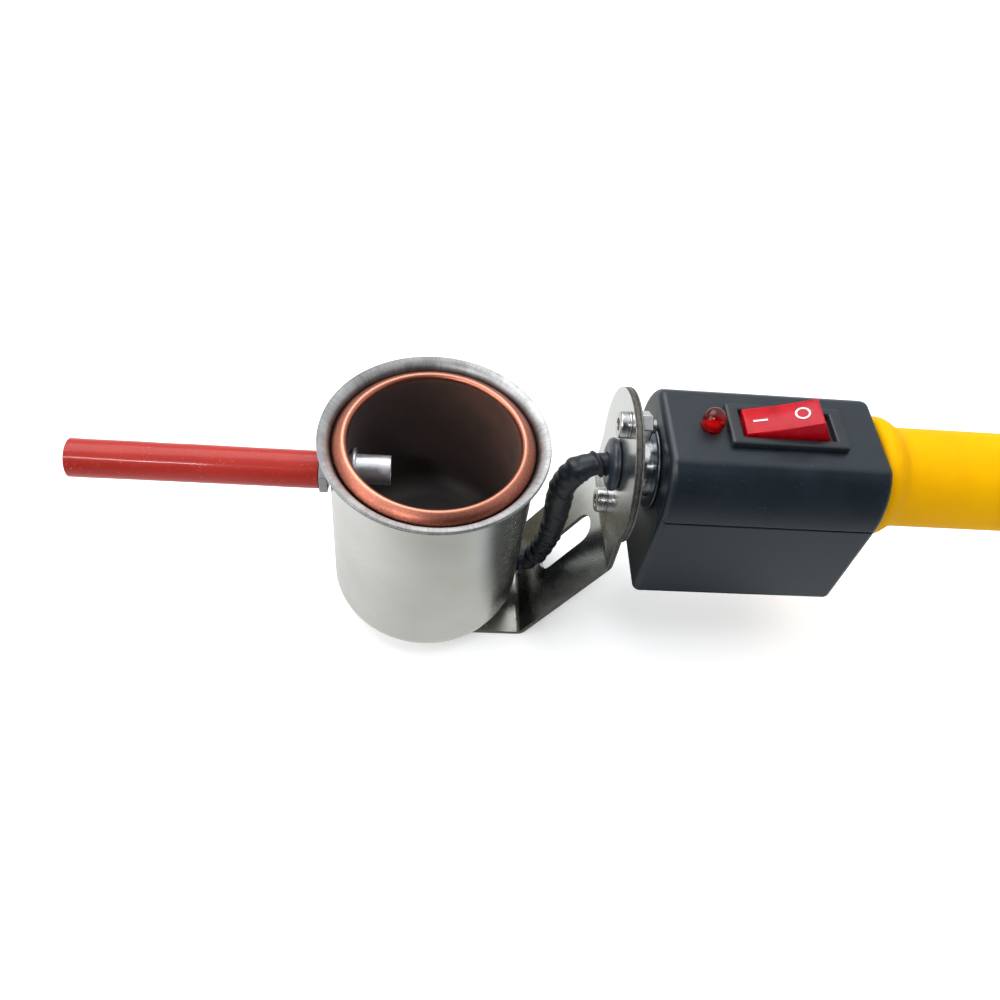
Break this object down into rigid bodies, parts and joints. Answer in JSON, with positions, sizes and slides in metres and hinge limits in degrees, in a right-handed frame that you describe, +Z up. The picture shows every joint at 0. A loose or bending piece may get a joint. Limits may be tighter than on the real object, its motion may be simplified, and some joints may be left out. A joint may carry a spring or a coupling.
{
  "type": "electric oxalic acid vaporizer",
  "caption": "Hand-held electric vaporizer: copper crucible in a stainless cup with a side nozzle, bent steel bracket, black switch box with a rocker, yellow rubber grip.",
  "frame": {"origin": "on the underside of the bracket's foot, on the axis of the cup", "axes": "+Z up along the cup's axis, +X along the handle away from the cup, +Y to the left of the user who holds the grip"},
  "size_m": [0.3278, 0.0608, 0.0846],
  "materials": {
    "cup_steel": "satin drawn stainless with a mottled, unpolished rim",
    "copper": "turned copper, bright on the lip and dark oxidised inside",
    "heater_sheath": "mica-lined steel band",
    "ceramic": "matt white ceramic and fibre",
    "fastener": "bright stainless or zinc plated",
    "nozzle_steel": "bright but slightly rough steel tube",
    "red_sleeve": "semi-gloss red silicone",
    "bracket_steel": "smooth satin stainless sheet with dull cut edges",
    "black_rubber": "black rubber and sleeving",
    "neck_chrome": "polished chrome",
    "box_plastic": "fine satin black ABS",
    "switch_plastic": "satin black",
    "rocker_red": "translucent red, white marks",
    "lamp_red": "clear red lens",
    "brass": "bright brass",
    "board": "solder mask green",
    "component": "blue moulded case",
    "wire": "red insulation",
    "yellow_rubber": "matt yellow rubber",
    "core_plastic": "matt black nylon"
  },
  "bodies": {
    "vaporizer": {"cup_shell": "cup_steel", "crucible": "copper", "heater_band": "heater_sheath", "insulation_wrap": "ceramic", "insulation_pad": "ceramic", "thermostat": "ceramic", "ceramic_spacer_1": "ceramic", "ceramic_spacer_2": "ceramic", "ceramic_spacer_3": "ceramic", "foot_screw_1": "fastener", "foot_screw_2": "fastener", "foot_screw_3": "fastener", "nozzle_pipe": "nozzle_steel", "nozzle_nut": "fastener", "nozzle_sleeve": "red_sleeve", "bracket": "bracket_steel", "back_plate": "bracket_steel", "plate_grommet": "black_rubber", "plate_screw_upper": "fastener", "plate_screw_lower": "fastener", "plate_washer_upper": "fastener", "plate_washer_lower": "fastener", "plate_nut_upper": "fastener", "plate_nut_lower": "fastener", "heater_lead": "black_rubber", "lead_bush": "black_rubber", "neck_tube": "neck_chrome", "neck_collar": "neck_chrome", "neck_lock_ring": "fastener", "box_upper_shell": "box_plastic", "box_lower_shell": "box_plastic", "box_screw_1": "fastener", "box_screw_2": "fastener", "box_screw_3": "fastener", "box_screw_4": "fastener", "switch_housing": "switch_plastic", "switch_terminal_1": "brass", "switch_terminal_2": "brass", "switch_terminal_3": "brass", "indicator_lamp": "lamp_red", "lamp_leg_1": "fastener", "lamp_leg_2": "fastener", "circuit_board": "board", "relay": "component", "terminal_block": "board", "fuse": "ceramic", "heater_core_1": "wire", "heater_core_2": "wire", "switch_wire_in": "wire", "switch_wire_out": "wire", "handle_tube": "core_plastic", "handle_lock_ring": "fastener", "handle_grip": "yellow_rubber", "end_cap": "core_plastic", "cable_gland": "core_plastic"},
    "rocker_body": {"rocker": "rocker_red"}
  },
  "joints": [
    {"name": "rocker_tilt", "type": "hinge", "parent": "vaporizer", "child": "rocker_body", "pos_m": [0.08965, 0, 0.074], "axis": [0, 1, 0], "range_deg": [0, 33.8]}
  ]
}
